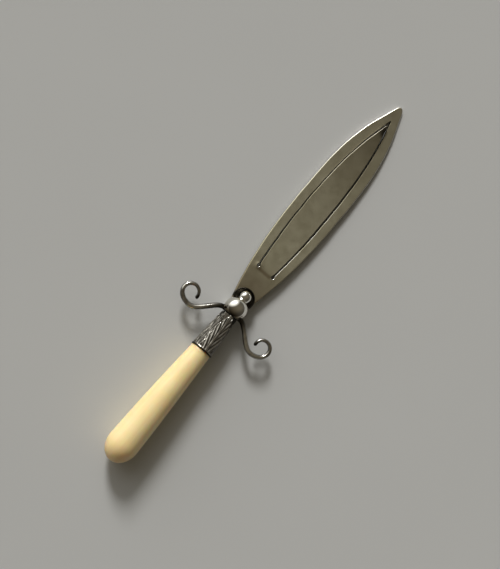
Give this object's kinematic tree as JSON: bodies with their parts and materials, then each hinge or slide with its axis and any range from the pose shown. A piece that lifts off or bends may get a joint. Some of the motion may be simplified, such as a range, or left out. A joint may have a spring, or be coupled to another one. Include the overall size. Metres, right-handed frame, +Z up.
{
  "type": "bookmark",
  "caption": "Dagger-shaped silver page-clip bookmark: leaf blade with a springy cut-out tongue, ball guard with scrolled arms, leaf-embossed ferrule and a cream turned handle.",
  "frame": {"origin": "middle of the bounding box, at the level of the surface that the bookmark lies on", "axes": "+Y along the bookmark from the butt of the handle to the tip of the blade, +X across the guard, +Z up out of the face of the blade"},
  "size_m": [0.0243, 0.1, 0.0071],
  "materials": {
    "satin_silver": "worn satin silver with a warm tarnish",
    "bright_silver": "polished silver, darkened in the corners",
    "dark_silver": "oxidised silver",
    "cream": "polished ivory-coloured material with a soft gloss",
    "cement": "dark brown setting cement"
  },
  "bodies": {
    "frame": {"blade": "satin_silver", "root_cup": "dark_silver", "neck_bead": "bright_silver", "guard_ball": "bright_silver", "left_scroll": "bright_silver", "right_scroll": "bright_silver", "ferrule": "satin_silver", "mouth_ring": "dark_silver", "ferrule_cement": "cement", "tang": "satin_silver", "handle_grip": "cream"},
    "tongue": {"page_tongue": "satin_silver"}
  },
  "joints": [
    {"name": "tongue_flex", "type": "hinge", "parent": "frame", "child": "tongue", "pos_m": [0, 0.00181, 0.00132], "axis": [1, 0, 0], "range_deg": [-1.2, 6], "stiffness_Nm_per_rad": 0.3}
  ]
}
